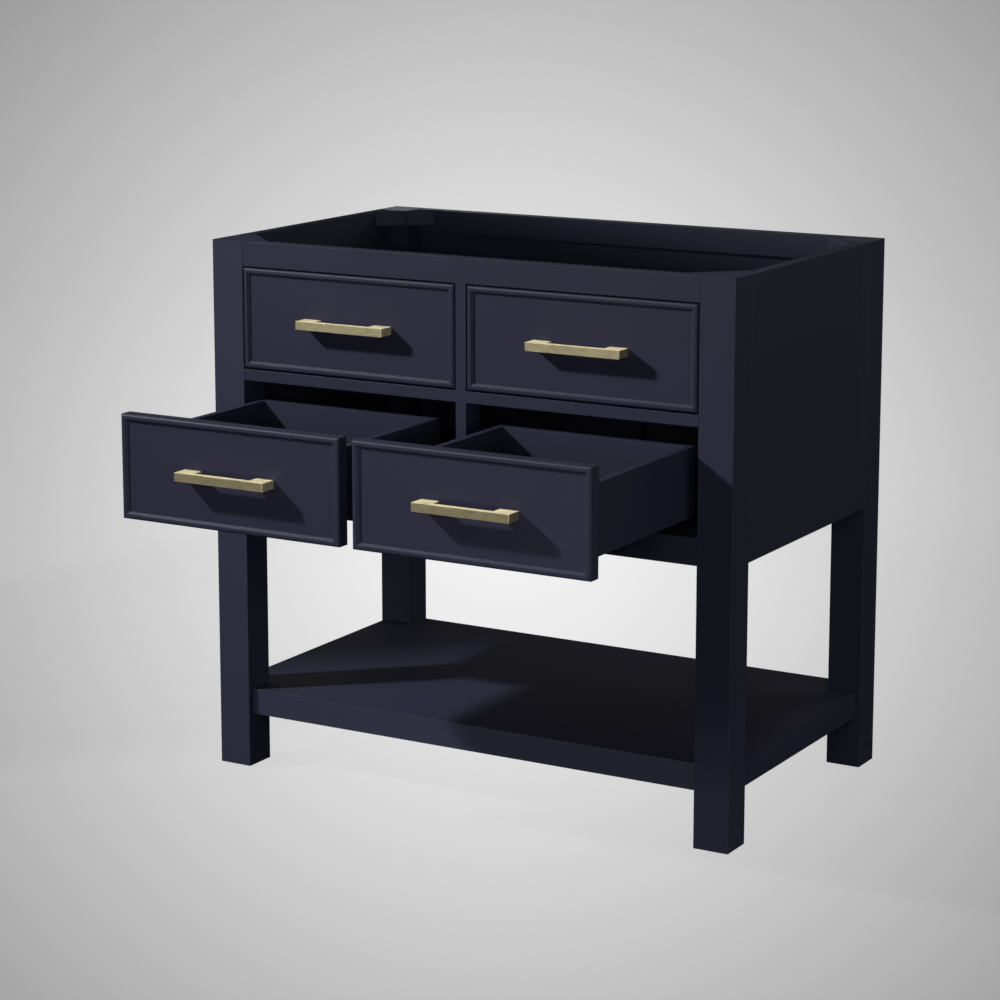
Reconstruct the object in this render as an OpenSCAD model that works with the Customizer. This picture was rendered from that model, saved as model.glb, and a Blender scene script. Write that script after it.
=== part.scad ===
// Bathroom vanity cabinet: open-topped case on four square legs, with an open shelf
// and four inset drawers on telescopic undermount slides.
// Millimetres. X to the right, front toward -Y, Z up, origin on the floor under the middle of the case.

/* [Cabinet] */
// Overall width across the legs
body_w = 914; // [880:1:960]
// Overall depth, front of legs to back of legs
body_d = 546; // [520:1:580]
// Overall height to the open top
body_h = 860; // [855:1:890]
// Side of each square leg
leg_s = 57; // [50:1:62]
// Height of the underside of the drawer case
case_z = 433; // [425:1:436]

/* [Front frame] */
// Height of the top rails
rail_h = 39; // [36:1:44]
// Height of the bottom rails
low_rail_h = 42; // [40:1:46]
// Height of the rail between the drawer rows
mid_h = 18; // [16:1:22]
// Width of the centre stile
stile_w = 18; // [16:1:24]
// Depth of the centre stile and of the middle rail
stile_d = 40; // [32:1:44]
// Thickness of the top and bottom rails
rail_t = 22; // [18:1:24]

/* [Drawers] */
// Gap all round each drawer front
front_gap = 2.25; // [2:0.25:3]
// Thickness of a drawer front without its raised edge
front_t = 19; // [17:0.5:20]
// Width of the raised edge moulding
bead_w = 11; // [10:0.5:13]
// Height of the raised edge moulding
bead_h = 4; // [3:0.5:4.5]
// Space from the front's end to the drawer box's side
box_inset = 28.25; // [26:0.25:30]
// How far a drawer box sits off its front's middle, toward the legs
box_shift = 14; // [0:1:16]
// Length of a drawer box, front to back
box_l = 325; // [315:1:335]
// Height of a lower drawer box
box_h_lower = 105; // [90:1:110]
// Height of an upper drawer box
box_h_upper = 60; // [56:1:70]
// Thickness of the drawer box boards
box_t = 12; // [11:0.5:13]
// How far the lower drawers are drawn out
pull_out = 320; // [0:1:325]

/* [Pulls] */
// Length of a pull
pull_l = 158; // [140:1:180]
// Height of a pull
pull_h = 12.5; // [12:0.5:16]
// Distance a pull stands out from its front
pull_out_y = 29; // [24:0.5:32]
// Width of each end post
post_w = 30; // [24:1:34]
// Depth of the grip bar
bar_d = 11; // [9:0.5:12]

/* [Shelf] */
// Height of the shelf's top
shelf_z = 131; // [110:1:180]
// Height of the shelf's edge
shelf_h = 42; // [36:1:48]
// Thickness of the shelf panel
shelf_t = 18; // [16:1:20]
// Setback of the shelf's front edge from the legs
shelf_in_y = 10; // [6:1:14]
// Setback of the shelf's side edges from the legs
shelf_in_x = 5; // [3:1:8]

/* [Hidden] */
e = 1;
x_leg = body_w / 2 - leg_s;
y_leg = body_d / 2 - leg_s;
y_front = -body_d / 2;
y_back = body_d / 2;
leg_chamfer = 0.6;
side_t = 18;
back_t = 9;
back_in = 6;
y_inner = y_back - back_in - back_t;
rear_rail_t = 22;
open_h = (body_h - case_z - rail_h - low_rail_h - mid_h) / 2;
z_low = case_z + low_rail_h;
z_mid = z_low + open_h;
z_up = z_mid + mid_h;
z_top = body_h - rail_h;
open_w = x_leg - stile_w / 2;
front_w = open_w - 2 * front_gap;
front_h = open_h - 2 * front_gap;
front_x = (x_leg + stile_w / 2) / 2;
front_proud = 2;
y_face = y_front - front_proud + bead_h;
y_box = y_face + front_t;
box_w = front_w - 2 * box_inset;
slide_h = 39.75;
box_z = 26;
bottom_t = 9;
groove = 5;
runner_t = 18;
runner_in = 85;
runner_out = 60;
steel = 1.6;
slide_w = 30;
slide_gap = 0.6;
slide_l = box_l - 5;
slide_u = 17;
slide_c = 20;
mid_lift = 2.2;
slide_in = 71;
slide_x = box_w / 2 - slide_in;
glide_h = 3;
glide_r = 16;
foot_hole_r = 4;
foot_hole_l = 40;
block_t = 25;
block_s = 72;
block_hole_r = 3;
block_hole_x = x_leg - 11;
block_hole_y = y_leg + 24;
screw_r = 2;
screw_in = 10;
screw_head_r = 4;
screw_head_h = 2.4;
screw_x = pull_l / 2 - post_w / 2;
recess_l = 4.4;
recess_w = 1;
recess_h = 1.4;
post_rear_w = 90;
cut_w = 300;
cut_z0 = z_up + 7;
cut_h = 70;
navy = [0.11, 0.11, 0.18];
brass = [0.80, 0.74, 0.50];
metal = [0.72, 0.73, 0.75];
nylon = [0.16, 0.16, 0.17];

// ---------- shapes used by several sub-parts ----------

// box given by its two opposite corners
module board(x0, y0, z0, x1, y1, z1) {
  translate([x0, y0, z0])
    cube([x1 - x0, y1 - y0, z1 - z0]);
}

// square leg with eased vertical edges and a foot hole, standing at sx, sy
module leg(sx, sy) {
  c = leg_chamfer;
  s = leg_s;
  translate([sx < 0 ? -body_w / 2 : x_leg, sy < 0 ? y_front : y_leg, glide_h])
    difference() {
      linear_extrude(body_h - glide_h)
        polygon([[c, 0], [s - c, 0], [s, c], [s, s - c], [s - c, s], [c, s], [0, s - c], [0, c]]);
      translate([s / 2, s / 2, -e])
        cylinder(h = foot_hole_l + e, r = foot_hole_r, $fn = 32);
    }
}

// left side panel, with two fine vertical grooves near its back edge
module side_panel() {
  c = 1.2;
  x0 = -body_w / 2;
  x1 = x0 + side_t;
  y0 = -y_leg;
  y1 = y_leg;
  g = 1;
  ga = y1 - 10;
  gb = y1 - 25;
  translate([0, 0, case_z])
    linear_extrude(body_h - case_z)
      polygon([
        [x0 + c, y0], [x1, y0], [x1, y1], [x0 + c, y1], [x0, y1 - c],
        [x0, ga + g], [x0 + g, ga], [x0, ga - g],
        [x0, gb + g], [x0 + g, gb], [x0, gb - g],
        [x0, y0 + c]
      ]);
}

// triangular block in the top rear left corner, split by the leg; rail is the thickness of its rail
module corner_block(rail) {
  xs = -body_w / 2 + side_t;
  yr = y_back - rail;
  difference() {
    translate([0, 0, body_h - block_t])
      linear_extrude(block_t)
        polygon([[xs, yr], [xs + block_s, yr], [xs, yr - block_s]]);
    board(xs - e, y_leg, body_h - block_t - e, -x_leg, y_back, body_h + e);
    translate([-block_hole_x, block_hole_y, body_h - block_t - e])
      cylinder(h = block_t + 2 * e, r = block_hole_r, $fn = 32);
  }
}

// shelf outline: a rectangle notched round the four legs
module shelf_outline() {
  xo = body_w / 2 - shelf_in_x;
  y0 = y_front + shelf_in_y;
  y1 = y_back - shelf_in_y - 3;
  polygon([
    [-x_leg, y0], [x_leg, y0], [x_leg, -y_leg], [xo, -y_leg], [xo, y_leg], [x_leg, y_leg],
    [x_leg, y1], [-x_leg, y1], [-x_leg, y_leg], [-xo, y_leg], [-xo, -y_leg], [-x_leg, -y_leg]
  ]);
}

// cross-section of the raised edge: rounded outside, fine quirk, small inner cove
module bead_section() {
  r = bead_h - 0.2;
  q = bead_w - 2;
  round_pts = [for (a = [180 : -15 : 90]) [-(0.2 + r * sin(a)), r + r * cos(a)]];
  cove_pts = [for (a = [90 : -18 : 0]) [-(0.3 + 2 * sin(a)), q + 2 * cos(a)]];
  polygon(concat(
    [[e, 0]],
    round_pts,
    [[-bead_h, q - 1.6], [-bead_h + 1, q - 1.2], [-bead_h + 1, q - 0.5]],
    cove_pts,
    [[e, bead_w]]
  ));
}

// one mitred length of the raised edge, along X, its inner side toward +Z
module bead_run(l) {
  intersection() {
    rotate([90, 0, 90])
      linear_extrude(l)
        bead_section();
    translate([0, e, 0])
      rotate([90, 0, 0])
        linear_extrude(bead_h + 2 * e)
          polygon([[0, 0], [l, 0], [l - bead_w, bead_w], [bead_w, bead_w]]);
  }
}

// one bore for each of a pull's two screws, from y0 to y1
module screw_bores(y0, y1) {
  for (m = [-1, 1])
    translate([m * screw_x, y0, 0])
      rotate([-90, 0, 0])
        cylinder(h = y1 - y0, r = screw_r, $fn = 32);
}

// the two screws of a pull, driven from inside the drawer
module screw_pair() {
  y_head = front_t + box_t;
  screw_bores(-screw_in, y_head);
  for (m = [-1, 1])
    translate([m * screw_x, y_head, 0])
      difference() {
        rotate([-90, 0, 0])
          cylinder(h = screw_head_h, r = screw_head_r, $fn = 48);
        for (t = [0, 90])
          rotate([0, t, 0])
            translate([-recess_l / 2, screw_head_h - recess_h, -recess_w / 2])
              cube([recess_l, recess_h + e, recess_w]);
      }
}

// drawer front centred on x, z = 0, with its face at y = 0
module drawer_front() {
  difference() {
    board(-front_w / 2, 0, -front_h / 2, front_w / 2, front_t, front_h / 2);
    screw_bores(-e, front_t + e);
  }
  for (m = [0, 1])
    mirror([0, 0, m])
      translate([-front_w / 2, 0, -front_h / 2])
        bead_run(front_w);
  for (m = [0, 1])
    mirror([m, 0, 0])
      translate([front_w / 2, 0, -front_h / 2])
        rotate([0, -90, 0])
          bead_run(front_h);
}

// bar pull centred on x, z = 0, its feet at y = 0
module pull() {
  l = pull_l / 2;
  r = 2.5;
  corner = [for (a = [0 : 15 : 90]) [l - r + r * cos(a), -pull_out_y + r - r * sin(a)]];
  corner_l = [for (a = [90 : -15 : 0]) [-(l - r + r * cos(a)), -pull_out_y + r - r * sin(a)]];
  difference() {
    translate([0, 0, -pull_h / 2])
      linear_extrude(pull_h)
        polygon(concat(
          [[l, 0]], corner, corner_l,
          [[-l, 0], [-l + post_w, 0], [-l + post_w, -pull_out_y + bar_d],
           [l - post_w, -pull_out_y + bar_d], [l - post_w, 0]]
        ));
    screw_bores(-screw_in, e);
  }
}

// left side board of a drawer box, its underside at z = 0, grooved for the bottom
module box_side(h) {
  difference() {
    board(-box_w / 2, 0, 0, -box_w / 2 + box_t, box_l, h);
    board(-box_w / 2 + box_t - groove, -e, slide_h - box_z,
          -box_w / 2 + box_t + e, box_l + e, slide_h - box_z + bottom_t);
  }
}

// both end boards of a drawer box, standing on the bottom; dx is where the pull's middle is
module box_ends(h, dx) {
  x = box_w / 2 - box_t;
  z = slide_h - box_z + bottom_t;
  difference() {
    board(-x, 0, z, x, box_t, h);
    translate([dx, 0, open_h / 2 - box_z])
      screw_bores(-e, box_t + e);
  }
  board(-x, box_l - box_t, z, x, box_l, h);
}

// bottom board, held in the side grooves
module box_bottom() {
  x = box_w / 2 - box_t + groove;
  z = slide_h - box_z;
  board(-x, 0, z, x, box_l, z + bottom_t);
}

// open channel on the runner board, its base at z = 0
module channel_fixed() {
  w = slide_w / 2;
  rotate([90, 0, 180])
    linear_extrude(slide_l)
      polygon([
        [-w, 0], [w, 0], [w, slide_u], [w - steel, slide_u], [w - steel, steel],
        [-w + steel, steel], [-w + steel, slide_u], [-w, slide_u]
      ]);
}

// box-section middle member
module channel_mid() {
  w = slide_w / 2 - steel - slide_gap;
  h = slide_h - steel - slide_gap - mid_lift;
  translate([0, 2, mid_lift])
    difference() {
      board(-w, 0, 0, w, slide_l - 4, h);
      board(-w + steel, -e, steel, w - steel, slide_l - 4 + e, h - steel);
    }
}

// upside-down channel under the drawer bottom
module channel_top() {
  w = slide_w / 2;
  rotate([90, 0, 180])
    linear_extrude(slide_l)
      polygon([
        [-w, slide_h], [w, slide_h], [w, slide_c], [w - steel, slide_c],
        [w - steel, slide_h - steel], [-w + steel, slide_h - steel],
        [-w + steel, slide_c], [-w, slide_c]
      ]);
}

// places a part of a drawer: sx is its side, z0 the opening's bottom, out how far it is drawn
module at_drawer(sx, z0, out) {
  translate([sx * front_x, -out, z0])
    children();
}

module front_at(sx, z0, out) {
  at_drawer(sx, z0, out)
    translate([0, y_face, open_h / 2])
      color(navy)
        drawer_front();
}

module side_at(m, h, sx, z0, out) {
  at_drawer(sx, z0, out)
    translate([sx * box_shift, y_box, box_z])
      mirror([m, 0, 0])
        color(navy)
          box_side(h);
}

module ends_at(h, sx, z0, out) {
  at_drawer(sx, z0, out)
    translate([sx * box_shift, y_box, box_z])
      color(navy)
        box_ends(h, -sx * box_shift);
}

module bottom_at(sx, z0, out) {
  at_drawer(sx, z0, out)
    translate([sx * box_shift, y_box, box_z])
      color(navy)
        box_bottom();
}

module pull_at(sx, z0, out) {
  at_drawer(sx, z0, out)
    translate([0, y_face, open_h / 2])
      color(brass)
        pull();
}

module screws_at(sx, z0, out) {
  at_drawer(sx, z0, out)
    translate([0, y_face, open_h / 2])
      color(metal)
        screw_pair();
}

module slide_pair(sx, z0, out) {
  at_drawer(sx, z0, out)
    translate([sx * box_shift, y_box + 3, 0])
      color(metal)
        for (m = [-1, 1])
          translate([m * slide_x, 0, 0])
            children();
}

// ---------- case ----------

module leg_front_left() { color(navy) leg(-1, -1); }
module leg_front_right() { color(navy) leg(1, -1); }
module leg_rear_left() { color(navy) leg(-1, 1); }
module leg_rear_right() { color(navy) leg(1, 1); }

module top_rail_front() {
  color(navy)
    board(-x_leg, y_front, z_top, x_leg, y_front + rail_t, body_h);
}

module mid_rail_front() {
  color(navy)
    board(-x_leg, y_front, z_mid, x_leg, y_front + stile_d, z_up);
}

module bottom_rail_front() {
  color(navy)
    board(-x_leg, y_front, case_z, x_leg, y_front + rail_t, z_low);
}

module stile_upper() {
  color(navy)
    board(-stile_w / 2, y_front, z_up, stile_w / 2, y_front + stile_d, z_top);
}

module stile_lower() {
  color(navy)
    board(-stile_w / 2, y_front, z_low, stile_w / 2, y_front + stile_d, z_mid);
}

module side_panel_left() { color(navy) side_panel(); }
module side_panel_right() { color(navy) mirror([1, 0, 0]) side_panel(); }

module top_rail_rear() {
  color(navy)
    board(-x_leg, y_back - rear_rail_t, z_top, x_leg, y_back, body_h);
}

module mid_rail_rear() {
  color(navy)
    board(-x_leg, y_inner - rail_t, z_mid, x_leg, y_inner, z_up);
}

module bottom_rail_rear() {
  color(navy)
    board(-x_leg, y_inner - rail_t, case_z, x_leg, y_inner, z_low);
}

module rear_post() {
  color(navy)
    board(-post_rear_w / 2, y_inner - side_t, z_low, post_rear_w / 2, y_inner, z_mid);
}

module back_panel() {
  color(navy)
    difference() {
      board(-x_leg, y_inner, case_z, x_leg, y_inner + back_t, z_top);
      board(-cut_w / 2, y_inner - e, cut_z0, cut_w / 2, y_inner + back_t + e, cut_z0 + cut_h);
    }
}

module corner_blocks() {
  color(navy)
    for (sx = [0, 1])
      mirror([sx, 0, 0]) {
        corner_block(rear_rail_t);
        mirror([0, 1, 0])
          corner_block(rail_t);
      }
}

module slide_runners() {
  y1 = y_inner - rail_t;
  color(navy)
    for (z = [z_low - runner_t, z_up - runner_t])
      for (sx = [-1, 1])
        for (m = [-1, 1]) {
          x = sx * (front_x + box_shift);
          xa = x + m * (slide_x + runner_out);
          xb = x + m * (slide_x - runner_in);
          y0 = y_front + (z < z_low ? rail_t : stile_d);
          board(min(xa, xb), y0, z, max(xa, xb), y1, z + runner_t);
        }
}

// ---------- shelf and feet ----------

module shelf_panel() {
  color(navy)
    translate([0, 0, shelf_z - shelf_t])
      linear_extrude(shelf_t)
        shelf_outline();
}

module shelf_rail_front() {
  y0 = y_front + shelf_in_y;
  color(navy)
    board(-x_leg, y0, shelf_z - shelf_h, x_leg, y0 + side_t, shelf_z - shelf_t);
}

module shelf_rail_rear() {
  y1 = y_back - shelf_in_y - 3;
  color(navy)
    board(-x_leg, y1 - side_t, shelf_z - shelf_h, x_leg, y1, shelf_z - shelf_t);
}

module shelf_rails_side() {
  xo = body_w / 2 - shelf_in_x;
  color(navy)
    for (m = [0, 1])
      mirror([m, 0, 0])
        board(-xo, -y_leg, shelf_z - shelf_h, -xo + side_t, y_leg, shelf_z - shelf_t);
}

module glides() {
  color(nylon)
    for (sx = [-1, 1])
      for (sy = [-1, 1])
        translate([sx * (x_leg + leg_s / 2), sy * (y_leg + leg_s / 2), 0])
          difference() {
            cylinder(h = glide_h, r = glide_r, $fn = 48);
            translate([0, 0, -e])
              cylinder(h = glide_h + 2 * e, r = foot_hole_r, $fn = 32);
          }
}

// ---------- slides ----------

module slide_fixed() {
  for (sx = [-1, 1])
    for (z = [z_low, z_up])
      slide_pair(sx, z, 0)
        channel_fixed();
}

module slide_mid_ul() { slide_pair(-1, z_up, 0) channel_mid(); }
module slide_mid_ur() { slide_pair(1, z_up, 0) channel_mid(); }
module slide_mid_ll() { slide_pair(-1, z_low, pull_out / 2) channel_mid(); }
module slide_mid_lr() { slide_pair(1, z_low, pull_out / 2) channel_mid(); }

// ---------- upper left drawer ----------

module front_ul() { front_at(-1, z_up, 0); }
module side_l_ul() { side_at(0, box_h_upper, -1, z_up, 0); }
module side_r_ul() { side_at(1, box_h_upper, -1, z_up, 0); }
module ends_ul() { ends_at(box_h_upper, -1, z_up, 0); }
module bottom_ul() { bottom_at(-1, z_up, 0); }
module pull_ul() { pull_at(-1, z_up, 0); }
module pull_screws_ul() { screws_at(-1, z_up, 0); }
module slide_top_ul() { slide_pair(-1, z_up, 0) channel_top(); }

// ---------- upper right drawer ----------

module front_ur() { front_at(1, z_up, 0); }
module side_l_ur() { side_at(0, box_h_upper, 1, z_up, 0); }
module side_r_ur() { side_at(1, box_h_upper, 1, z_up, 0); }
module ends_ur() { ends_at(box_h_upper, 1, z_up, 0); }
module bottom_ur() { bottom_at(1, z_up, 0); }
module pull_ur() { pull_at(1, z_up, 0); }
module pull_screws_ur() { screws_at(1, z_up, 0); }
module slide_top_ur() { slide_pair(1, z_up, 0) channel_top(); }

// ---------- lower left drawer ----------

module front_ll() { front_at(-1, z_low, pull_out); }
module side_l_ll() { side_at(0, box_h_lower, -1, z_low, pull_out); }
module side_r_ll() { side_at(1, box_h_lower, -1, z_low, pull_out); }
module ends_ll() { ends_at(box_h_lower, -1, z_low, pull_out); }
module bottom_ll() { bottom_at(-1, z_low, pull_out); }
module pull_ll() { pull_at(-1, z_low, pull_out); }
module pull_screws_ll() { screws_at(-1, z_low, pull_out); }
module slide_top_ll() { slide_pair(-1, z_low, pull_out) channel_top(); }

// ---------- lower right drawer ----------

module front_lr() { front_at(1, z_low, pull_out); }
module side_l_lr() { side_at(0, box_h_lower, 1, z_low, pull_out); }
module side_r_lr() { side_at(1, box_h_lower, 1, z_low, pull_out); }
module ends_lr() { ends_at(box_h_lower, 1, z_low, pull_out); }
module bottom_lr() { bottom_at(1, z_low, pull_out); }
module pull_lr() { pull_at(1, z_low, pull_out); }
module pull_screws_lr() { screws_at(1, z_low, pull_out); }
module slide_top_lr() { slide_pair(1, z_low, pull_out) channel_top(); }

leg_front_left();
leg_front_right();
leg_rear_left();
leg_rear_right();
top_rail_front();
mid_rail_front();
bottom_rail_front();
stile_upper();
stile_lower();
side_panel_left();
side_panel_right();
top_rail_rear();
mid_rail_rear();
bottom_rail_rear();
rear_post();
back_panel();
corner_blocks();
slide_runners();
shelf_panel();
shelf_rail_front();
shelf_rail_rear();
shelf_rails_side();
glides();
slide_fixed();
slide_mid_ul();
slide_mid_ur();
slide_mid_ll();
slide_mid_lr();
front_ul();
side_l_ul();
side_r_ul();
ends_ul();
bottom_ul();
pull_ul();
pull_screws_ul();
slide_top_ul();
front_ur();
side_l_ur();
side_r_ur();
ends_ur();
bottom_ur();
pull_ur();
pull_screws_ur();
slide_top_ur();
front_ll();
side_l_ll();
side_r_ll();
ends_ll();
bottom_ll();
pull_ll();
pull_screws_ll();
slide_top_ll();
front_lr();
side_l_lr();
side_r_lr();
ends_lr();
bottom_lr();
pull_lr();
pull_screws_lr();
slide_top_lr();
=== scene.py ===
import math

import bmesh
import bpy
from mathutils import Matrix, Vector


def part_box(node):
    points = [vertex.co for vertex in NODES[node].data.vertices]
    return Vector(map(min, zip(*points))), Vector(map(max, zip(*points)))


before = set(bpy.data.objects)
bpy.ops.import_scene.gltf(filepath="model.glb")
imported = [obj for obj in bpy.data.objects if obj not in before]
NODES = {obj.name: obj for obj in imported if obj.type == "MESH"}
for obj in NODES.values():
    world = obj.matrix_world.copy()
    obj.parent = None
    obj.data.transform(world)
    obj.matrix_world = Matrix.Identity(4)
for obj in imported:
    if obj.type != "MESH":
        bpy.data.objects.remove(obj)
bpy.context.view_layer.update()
MM = 0.001


# ---------------------------------------------------------------- node helpers

class Graph:
    """A material's node tree, built one node at a time."""

    def __init__(self, name):
        self.mat = bpy.data.materials.new(name)
        self.mat.use_nodes = True
        self.tree = self.mat.node_tree
        self.tree.nodes.clear()
        self.out = self.add("ShaderNodeOutputMaterial")
        self.bsdf = self.add("ShaderNodeBsdfPrincipled")
        self.link(self.bsdf.outputs[0], self.out.inputs[0])
        self.coord = self.add("ShaderNodeTexCoord").outputs["Object"]

    def add(self, kind):
        return self.tree.nodes.new(kind)

    def link(self, a, b):
        self.tree.links.new(a, b)

    def set(self, **values):
        for key, value in values.items():
            self.bsdf.inputs[key.replace("_", " ")].default_value = value

    def scaled(self, scale, offset=(0, 0, 0)):
        m = self.add("ShaderNodeMapping")
        m.inputs["Scale"].default_value = scale
        m.inputs["Location"].default_value = offset
        self.link(self.coord, m.inputs["Vector"])
        return m.outputs[0]

    def noise(self, vector, scale, detail=3.0, rough=0.5, distort=0.0):
        n = self.add("ShaderNodeTexNoise")
        n.inputs["Scale"].default_value = scale
        n.inputs["Detail"].default_value = detail
        n.inputs["Roughness"].default_value = rough
        n.inputs["Distortion"].default_value = distort
        self.link(vector, n.inputs["Vector"])
        return n.outputs["Fac"]

    def remap(self, value, lo, hi, a=0.3, b=0.7):
        r = self.add("ShaderNodeMapRange")
        for name, v in (("From Min", a), ("From Max", b), ("To Min", lo), ("To Max", hi)):
            r.inputs[name].default_value = v
        self.link(value, r.inputs["Value"])
        return r.outputs[0]

    def ramp(self, value, *stops):
        r = self.add("ShaderNodeValToRGB")
        el = r.color_ramp.elements
        while len(el) < len(stops):
            el.new(0.5)
        for e, (pos, col) in zip(el, stops):
            e.position = pos
            e.color = (*col, 1)
        self.link(value, r.inputs[0])
        return r.outputs[0]

    def math(self, op, a, b):
        m = self.add("ShaderNodeMath")
        m.operation = op
        for i, v in enumerate((a, b)):
            if isinstance(v, (int, float)):
                m.inputs[i].default_value = v
            else:
                self.link(v, m.inputs[i])
        return m.outputs[0]

    def vector(self, op, a, b=None, output="Vector"):
        m = self.add("ShaderNodeVectorMath")
        m.operation = op
        self.link(a, m.inputs[0])
        if b is not None:
            m.inputs[1].default_value = b
        return m.outputs[output]

    def bump(self, height, distance, strength=1.0, normal=None):
        b = self.add("ShaderNodeBump")
        b.inputs["Strength"].default_value = strength
        b.inputs["Distance"].default_value = distance
        self.link(height, b.inputs["Height"])
        if normal is not None:
            self.link(normal, b.inputs["Normal"])
        return b.outputs[0]


# ---------------------------------------------------------------- materials

NAVY_DEEP = (0.0158, 0.0158, 0.0350)
NAVY_PALE = (0.0178, 0.0179, 0.0392)


def lacquer(name, axis):
    """Satin navy lacquer over wood: fine spray texture, faint grain along axis, soft tone drift."""
    g = Graph(name)
    along = [1.0, 1.0, 1.0]
    along["XYZ".index(axis)] = 0.06
    drift = g.noise(g.scaled((1, 1, 1)), 2.4, 2.0, 0.5)
    fleck = g.noise(g.scaled((1, 1, 1), (9, 4, 2)), 900.0, 2.0, 0.6)
    tone = g.math("ADD", g.remap(drift, 0.0, 0.8), g.remap(fleck, 0.0, 0.2))
    g.link(g.ramp(tone, (0.0, NAVY_DEEP), (1.0, NAVY_PALE)), g.bsdf.inputs["Base Color"])
    grain = g.noise(g.scaled(along), 260.0, 4.0, 0.55, 0.3)
    peel = g.noise(g.scaled((1, 1, 1), (3, 1, 7)), 420.0, 2.0, 0.45)
    rough = g.math("ADD", g.remap(drift, 0.53, 0.57), g.remap(peel, -0.015, 0.015))
    g.link(rough, g.bsdf.inputs["Roughness"])
    n = g.bump(peel, 0.00012, 0.20)
    n = g.bump(grain, 0.00005, 0.15, n)
    g.link(n, g.bsdf.inputs["Normal"])
    g.set(IOR=1.35, Specular_IOR_Level=0.5)
    return g.mat


def brushed_brass(name):
    """Pale brass, brushed along the pull's length, with a faint lacquered sheen."""
    g = Graph(name)
    line = g.noise(g.scaled((0.02, 1, 1)), 2600.0, 2.0, 0.6)
    drift = g.noise(g.scaled((1, 1, 1)), 40.0, 2.0)
    colour = g.ramp(line, (0.25, (0.47, 0.40, 0.20)), (0.75, (0.70, 0.62, 0.36)))
    g.link(colour, g.bsdf.inputs["Base Color"])
    rough = g.math("ADD", g.remap(line, 0.24, 0.40), g.remap(drift, -0.03, 0.03))
    g.link(rough, g.bsdf.inputs["Roughness"])
    g.link(g.bump(line, 0.00005, 0.35), g.bsdf.inputs["Normal"])
    g.set(Metallic=0.85)
    return g.mat


def zinc_steel(name):
    """Rolled and zinc-plated steel with faint draw lines along the slide."""
    g = Graph(name)
    line = g.noise(g.scaled((1, 0.03, 1)), 1500.0, 2.0, 0.6)
    cloud = g.noise(g.scaled((1, 1, 1)), 60.0, 4.0, 0.6)
    colour = g.ramp(cloud, (0.3, (0.50, 0.51, 0.53)), (0.7, (0.63, 0.64, 0.66)))
    g.link(colour, g.bsdf.inputs["Base Color"])
    rough = g.math("ADD", g.remap(cloud, 0.28, 0.42), g.remap(line, -0.04, 0.04))
    g.link(rough, g.bsdf.inputs["Roughness"])
    g.link(g.bump(line, 0.00005, 0.25), g.bsdf.inputs["Normal"])
    g.set(Metallic=1.0)
    return g.mat


def moulded_nylon(name):
    """Black nylon with a fine moulded texture."""
    g = Graph(name)
    grit = g.noise(g.scaled((1, 1, 1)), 1800.0, 2.0, 0.6)
    colour = g.ramp(grit, (0.3, (0.016, 0.016, 0.018)), (0.7, (0.03, 0.03, 0.033)))
    g.link(colour, g.bsdf.inputs["Base Color"])
    g.link(g.remap(grit, 0.5, 0.65), g.bsdf.inputs["Roughness"])
    g.link(g.bump(grit, 0.0001, 0.3), g.bsdf.inputs["Normal"])
    return g.mat


# the painted pool of light on the backdrop paper: degrees off its axis, and the glow painted into the
# paper there
PAINTED_POOL = ((0, 0.95), (3, 0.84), (6, 0.70), (10, 0.51), (14, 0.34), (24, 0.28))
PAINTED_POOL_EDGE = PAINTED_POOL[-1][0]


def studio_paper(name, pool_origin, aim):
    """Pale paper with a painted pool of light: its emission is brightest on the axis from the pool's
    origin point toward aim, dimmer all round.
    """
    g = Graph(name)
    ray = g.vector("NORMALIZE", g.vector("SUBTRACT", g.coord, pool_origin))
    axis = (Vector(aim) - Vector(pool_origin)).normalized()
    off_axis = g.math("ARCCOSINE", g.vector("DOT_PRODUCT", ray, axis, "Value"), 0)
    r = g.remap(off_axis, 0.0, 1.0, 0.0, math.radians(PAINTED_POOL_EDGE))
    painted_pool_glow = g.ramp(r, *[(d / PAINTED_POOL_EDGE, (v, v, v)) for d, v in PAINTED_POOL])
    # painted pool of light: the paper glows brightest on the axis and fades off it, standing in for a
    # lamp's beam
    g.link(painted_pool_glow, g.bsdf.inputs["Emission Color"])
    fibre = g.noise(g.scaled((1, 1, 1)), 900.0, 3.0, 0.6)
    g.link(g.bump(fibre, 0.0001, 0.1), g.bsdf.inputs["Normal"])
    g.link(g.remap(fibre, 0.86, 0.94), g.bsdf.inputs["Roughness"])
    g.set(Emission_Strength=0.97, Base_Color=(0.03, 0.03, 0.03, 1), Specular_IOR_Level=0.0)
    return g.mat


LACQUER = {a: lacquer("navy_lacquer_" + a.lower(), a) for a in "XYZ"}
BRASS = brushed_brass("brushed_brass")
STEEL = zinc_steel("zinc_steel")
NYLON = moulded_nylon("glide_nylon")


def finish_for(name):
    """Returns a CAD node's material; lacquered boards get their grain along their longest side."""
    if name.startswith("pull_screws") or (name.startswith("slide_") and name != "slide_runners"):
        return STEEL
    if name.startswith("pull"):
        return BRASS
    if name == "glides":
        return NYLON
    lo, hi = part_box(name)
    size = hi - lo
    longest = max(range(3), key=lambda i: size[i])
    return LACQUER["XYZ"[longest]]


# ---------------------------------------------------------------- CAD nodes: eased edges and finishes

# edge rounding by the start of a node's name, in mm; the longest match counts
EASE_MM = {
    "leg": 0.3, "top_rail": 0.6, "mid_rail": 0.6, "bottom_rail": 0.6, "stile": 0.6,
    "side_panel": 0.4, "rear": 0.6, "back": 0.5, "corner": 0.6, "glides": 0.5,
    "shelf_panel": 0.3, "shelf_rail": 0.0,
    "front": 0.35, "side_": 1.2, "ends": 1.0, "bottom_": 0.4,
    "pull": 1.3, "pull_screws": 0.2, "slide_runners": 0.8, "slide": 0.25,
}
WELD_MM = 0.01


def ease_width(name):
    """Returns a node's edge rounding in metres."""
    key = max((k for k in EASE_MM if name.startswith(k)), key=len)
    return EASE_MM[key] * MM


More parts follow.
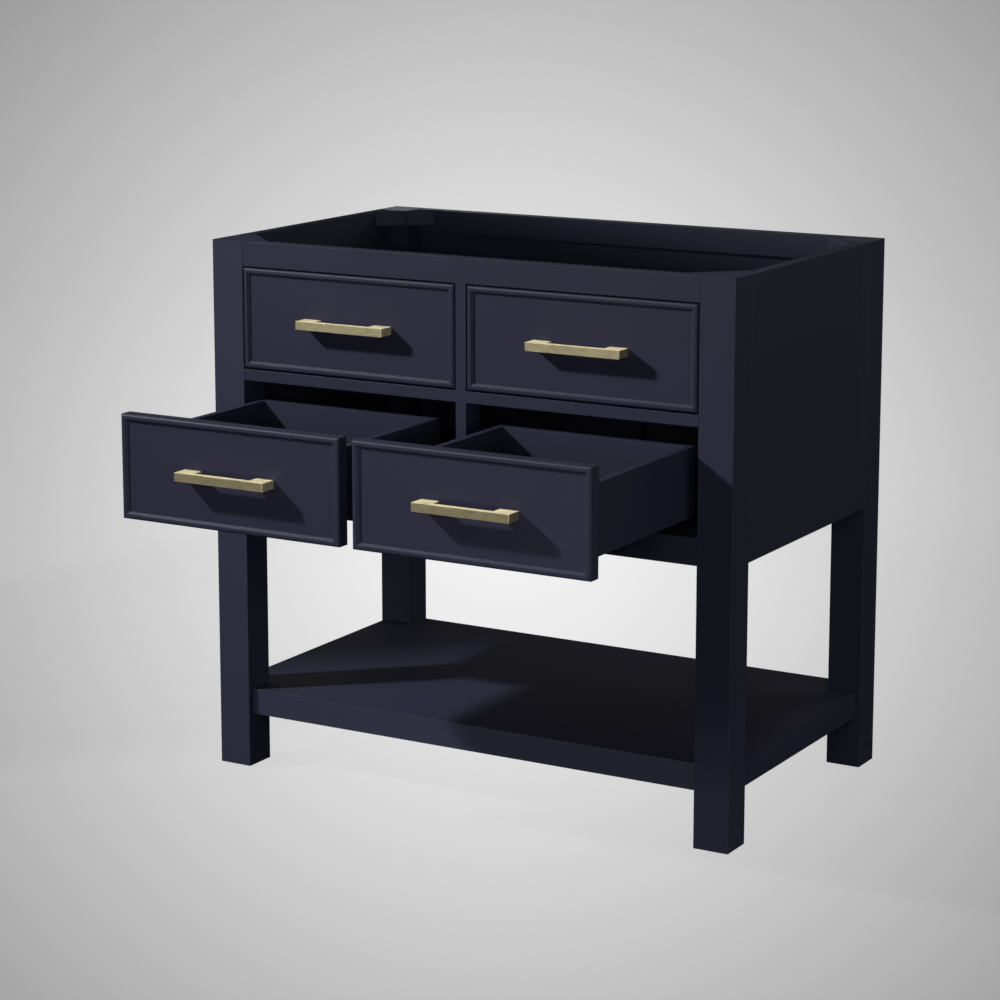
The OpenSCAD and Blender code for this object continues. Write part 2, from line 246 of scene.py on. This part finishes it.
for name, obj in NODES.items():
    weld = obj.modifiers.new("weld", "WELD")
    weld.merge_threshold = WELD_MM * MM
    width = ease_width(name)
    if width > 0:
        bevel = obj.modifiers.new("eased_edges", "BEVEL")
        bevel.width = width
        bevel.segments = 2
        bevel.limit_method = "ANGLE"
        bevel.angle_limit = math.radians(28)
        bevel.harden_normals = True
        bevel.use_clamp_overlap = True
    obj.data.materials.clear()
    obj.data.materials.append(finish_for(name))


# ---------------------------------------------------------------- studio

FLOOR_R, COVE_R, WALL_H = 6.5, 3.0, 5.0
BOWL_SIDES = 96
# origin and aim of the paper's painted pool of light; no lamp stands at the origin
PAINTED_POOL_ORIGIN, PAINTED_POOL_AIM = (2.2, -3.95, 1.42), (-1.05, 1.68, 0.0)


def studio_bowl():
    """A round paper floor that curves up into a wall all round, open at the top."""
    profile = [(FLOOR_R, 0.0)]
    for degrees in range(6, 91, 6):
        a = math.radians(degrees)
        profile.append((FLOOR_R + COVE_R * math.sin(a), COVE_R * (1 - math.cos(a))))
    profile.append((FLOOR_R + COVE_R, COVE_R + WALL_H))
    bm = bmesh.new()
    turns = [2 * math.pi * i / BOWL_SIDES for i in range(BOWL_SIDES)]
    rings = [[bm.verts.new((r * math.cos(t), r * math.sin(t), z)) for t in turns] for r, z in profile]
    middle = bm.verts.new((0, 0, 0))
    for i in range(BOWL_SIDES):
        j = (i + 1) % BOWL_SIDES
        bm.faces.new((middle, rings[0][i], rings[0][j]))
        for a, b in zip(rings, rings[1:]):
            bm.faces.new((a[i], b[i], b[j], a[j]))
    mesh = bpy.data.meshes.new("studio_floor")
    bm.to_mesh(mesh)
    bm.free()
    mesh.polygons.foreach_set("use_smooth", [True] * len(mesh.polygons))
    mesh.materials.append(studio_paper("studio_paper", PAINTED_POOL_ORIGIN, PAINTED_POOL_AIM))
    obj = bpy.data.objects.new("studio_floor", mesh)
    bpy.context.scene.collection.objects.link(obj)
    obj.visible_diffuse = False
    obj.visible_glossy = False


def place_light(name, data, at, aim):
    """Puts a light's data in the scene at a place, pointing at another."""
    obj = bpy.data.objects.new(name, data)
    bpy.context.scene.collection.objects.link(obj)
    obj.location = at
    obj.rotation_mode = "QUATERNION"
    obj.rotation_quaternion = (Vector(aim) - Vector(at)).to_track_quat("-Z", "Y")
    return obj


def area_light(name, at, aim, size, watts, colour=(1, 1, 1)):
    """A rectangular soft light."""
    data = bpy.data.lights.new(name, "AREA")
    data.shape = "RECTANGLE"
    data.size, data.size_y = size
    data.energy = watts
    data.color = colour
    return place_light(name, data, at, aim)


def spot_light(name, at, aim, cone, watts):
    """A narrow spotlight with a soft edge; its cone is in degrees."""
    data = bpy.data.lights.new(name, "SPOT")
    data.spot_size = math.radians(cone)
    data.spot_blend = 1.0
    data.energy = watts
    data.shadow_soft_size = 0.1
    return place_light(name, data, at, aim)


def even_light(obj):
    """Makes a light's strength the same near and far, as from a far-off source."""
    obj.data.use_nodes = True
    nodes, links = obj.data.node_tree.nodes, obj.data.node_tree.links
    falloff = nodes.new("ShaderNodeLightFalloff")
    falloff.inputs["Strength"].default_value = 1.0
    links.new(falloff.outputs["Constant"], nodes["Emission"].inputs["Strength"])


def light_only(obj, names):
    """Limits a light to the named CAD nodes."""
    lit = bpy.data.collections.new("lit_by_" + obj.name)
    for name in names:
        lit.objects.link(NODES[name])
    obj.light_linking.receiver_collection = lit


KEY_AT, KEY_AIM = (-1.94, -1.60, 2.14), (0, -0.3, 0.5)
CARD_AWAY = 1.5
# the card's two parts, each corner as azimuth and elevation from the key light, in degrees
CARD_SIDE = ((44.5, -75), (44.5, -31), (50, -26.5), (65, -28.5), (80, -30.5), (80, -75))
CARD_TOP = ((44.5, -31), (31, -22.5), (39, -23.7), (50, -26.5))


def black_card():
    """A black card beside the key light's beam, which shades the rear of the cabinet."""
    def corner(azimuth, elevation):
        az, el = math.radians(azimuth), math.radians(elevation)
        ray = Vector((math.cos(el) * math.cos(az), math.cos(el) * math.sin(az), math.sin(el)))
        return Vector(KEY_AT) + CARD_AWAY * ray

    corners = [corner(*c) for c in CARD_SIDE + CARD_TOP]
    split = len(CARD_SIDE)
    mesh = bpy.data.meshes.new("black_card")
    mesh.from_pydata(corners, [], [range(split), range(split, len(corners))])
    obj = bpy.data.objects.new("black_card", mesh)
    bpy.context.scene.collection.objects.link(obj)
    g = Graph("black_card")
    grit = g.noise(g.scaled((1, 1, 1)), 600.0)
    colour = g.ramp(grit, (0.3, (0.004, 0.004, 0.004)), (0.7, (0.007, 0.007, 0.007)))
    g.link(colour, g.bsdf.inputs["Base Color"])
    g.set(Roughness=0.95)
    mesh.materials.append(g.mat)
    obj.visible_camera = False


studio_bowl()
even_light(area_light("key", KEY_AT, KEY_AIM, (0.16, 0.16), 13.0))
black_card()
area_light("fill_front", (2.2, -5.4, 1.55), (0, 0, 0.6), (2.5, 1.2), 68)
area_light("fill_right", (4.5, -0.8, 0.85), (0.2, 0, 0.5), (3.0, 1.2), 34)
area_light("fill_left", (-4.5, 0.8, 1.4), (0, 0, 0.5), (3.0, 2.0), 30)
area_light("fill_back", (2.2, 4.6, 2.6), (0, 0, 0.5), (3.0, 2.0), 28)
light_only(area_light("fill_low", (-1.0, -2.4, 0.20), (-0.4, -0.3, 0.10), (1.2, 0.3), 6),
           ("leg_front_left", "leg_rear_left", "shelf_rail_front", "shelf_panel"))
light_only(area_light("fill_drawers", (0.6, -2.6, 0.35), (0, -0.59, 0.5), (2.0, 0.3), 9),
           ("front_ll", "front_lr", "shelf_rail_front", "shelf_panel"))
light_only(spot_light("foot_spot", (1.5, -3.3, 0.35), (0.42, -0.27, 0.02), 6.5, 160),
           ("leg_front_right",))
light_only(area_light("fill_rear", (-4.2, 3.4, 2.2), (0, 0.3, 0.5), (2.5, 1.6), 95),
           ("back_panel", "top_rail_rear", "leg_rear_left", "leg_rear_right", "shelf_rail_rear"))
pull_top = area_light("pull_top", (0, -1.0, 3.4), (0, -0.4, 0.6), (0.8, 0.8), 450, (0.97, 0.98, 1.12))
pull_top.data.cycles.max_bounces = 0
light_only(pull_top, [name for name in NODES if finish_for(name) is BRASS])


def studio_light(lowest, level, top):
    """Soft light from all round: dim from below, brighter toward the ceiling."""
    world = bpy.data.worlds.new("studio_light")
    world.use_nodes = True
    nodes, links = world.node_tree.nodes, world.node_tree.links
    direction = nodes.new("ShaderNodeTexCoord").outputs["Generated"]
    split = nodes.new("ShaderNodeSeparateXYZ")
    height = nodes.new("ShaderNodeMapRange")
    height.inputs["From Min"].default_value = -1.0
    shade = nodes.new("ShaderNodeValToRGB")
    stops = shade.color_ramp.elements
    stops.new(0.5)
    stops.new(0.6)
    for stop, at, value in zip(stops, (0.0, 0.5, 0.65, 1.0), (lowest, level, level, top)):
        stop.position = at
        stop.color = (value, value, value, 1)
    links.new(direction, split.inputs[0])
    links.new(split.outputs["Z"], height.inputs["Value"])
    links.new(height.outputs[0], shade.inputs[0])
    links.new(shade.outputs[0], nodes["Background"].inputs["Color"])
    bpy.context.scene.world = world


studio_light(0.02, 0.025, 0.27)
bpy.context.scene.view_settings.view_transform = "Standard"
bpy.context.scene.view_settings.look = "None"


# ---------------------------------------------------------------- camera

CAM_AT = (2.1899, -3.9259, 1.4123)
YAW, PITCH = math.radians(30.144), math.radians(10.238)
SENSOR_MM, LENS_MM = 36.0, 102.859
cam_data = bpy.data.cameras.new("camera")
cam_data.sensor_width = SENSOR_MM
cam_data.lens = LENS_MM
cam_data.shift_y = -0.10
cam = bpy.data.objects.new("camera", cam_data)
bpy.context.scene.collection.objects.link(cam)
cam.location = CAM_AT
look = Vector((-math.sin(YAW) * math.cos(PITCH), math.cos(YAW) * math.cos(PITCH), -math.sin(PITCH)))
cam.rotation_mode = "QUATERNION"
cam.rotation_quaternion = look.to_track_quat("-Z", "Y")
bpy.context.scene.camera = cam
